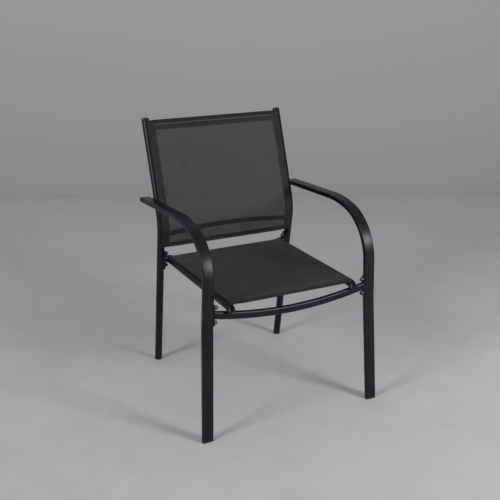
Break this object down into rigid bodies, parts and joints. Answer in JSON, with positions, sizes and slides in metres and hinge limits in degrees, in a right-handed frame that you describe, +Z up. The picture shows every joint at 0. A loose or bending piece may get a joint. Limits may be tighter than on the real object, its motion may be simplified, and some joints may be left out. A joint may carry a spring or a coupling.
{
  "type": "sling patio chair",
  "caption": "Patio armchair with a bent tube frame, arched flat arms and a mesh fabric sling seat and back.",
  "frame": {"origin": "on the floor, under the middle of the whole chair's box", "axes": "+X to the chair's right as seen from the front, +Y from the front of the seat to the back, +Z up"},
  "size_m": [0.6144, 0.6154, 0.8721],
  "materials": {
    "black_frame": "satin black powder coat",
    "black_plastic": "matt moulded black",
    "black_fasteners": "glossy black coated steel",
    "sling_fabric": "open woven charcoal mesh",
    "sling_rods": "extruded black plastic"
  },
  "bodies": {
    "root": {"arm_bolt_left": "black_fasteners", "arm_bolt_right": "black_fasteners", "arm_end_plug_left": "black_plastic", "arm_end_plug_right": "black_plastic", "arm_leg_left": "black_frame", "arm_leg_right": "black_frame", "arm_nut_left": "black_fasteners", "arm_nut_right": "black_fasteners", "arm_spacer_left": "black_plastic", "arm_spacer_right": "black_plastic", "back_post_left": "black_frame", "back_post_right": "black_frame", "back_sling": "sling_fabric", "back_sling_rod_left": "sling_rods", "back_sling_rod_right": "sling_rods", "back_spreader_bow": "black_frame", "back_top_bar": "black_frame", "front_bolt_left_lower": "black_fasteners", "front_bolt_left_upper": "black_fasteners", "front_bolt_right_lower": "black_fasteners", "front_bolt_right_upper": "black_fasteners", "front_bracket_left": "black_frame", "front_bracket_right": "black_frame", "front_foot_left": "black_plastic", "front_foot_right": "black_plastic", "front_nut_left_lower": "black_fasteners", "front_nut_left_upper": "black_fasteners", "front_nut_right_lower": "black_fasteners", "front_nut_right_upper": "black_fasteners", "post_cap_left": "black_plastic", "post_cap_right": "black_plastic", "rear_bolt_left_lower": "black_fasteners", "rear_bolt_left_upper": "black_fasteners", "rear_bolt_right_lower": "black_fasteners", "rear_bolt_right_upper": "black_fasteners", "rear_bracket_left": "black_frame", "rear_bracket_right": "black_frame", "rear_foot_left": "black_plastic", "rear_foot_right": "black_plastic", "rear_nut_left_lower": "black_fasteners", "rear_nut_left_upper": "black_fasteners", "rear_nut_right_lower": "black_fasteners", "rear_nut_right_upper": "black_fasteners", "seat_front_bar": "black_frame", "seat_rail_left": "black_frame", "seat_rail_right": "black_frame", "seat_rear_bar": "black_frame", "seat_sling": "sling_fabric", "seat_sling_rod_left": "sling_rods", "seat_sling_rod_right": "sling_rods"}
  },
  "joints": []
}
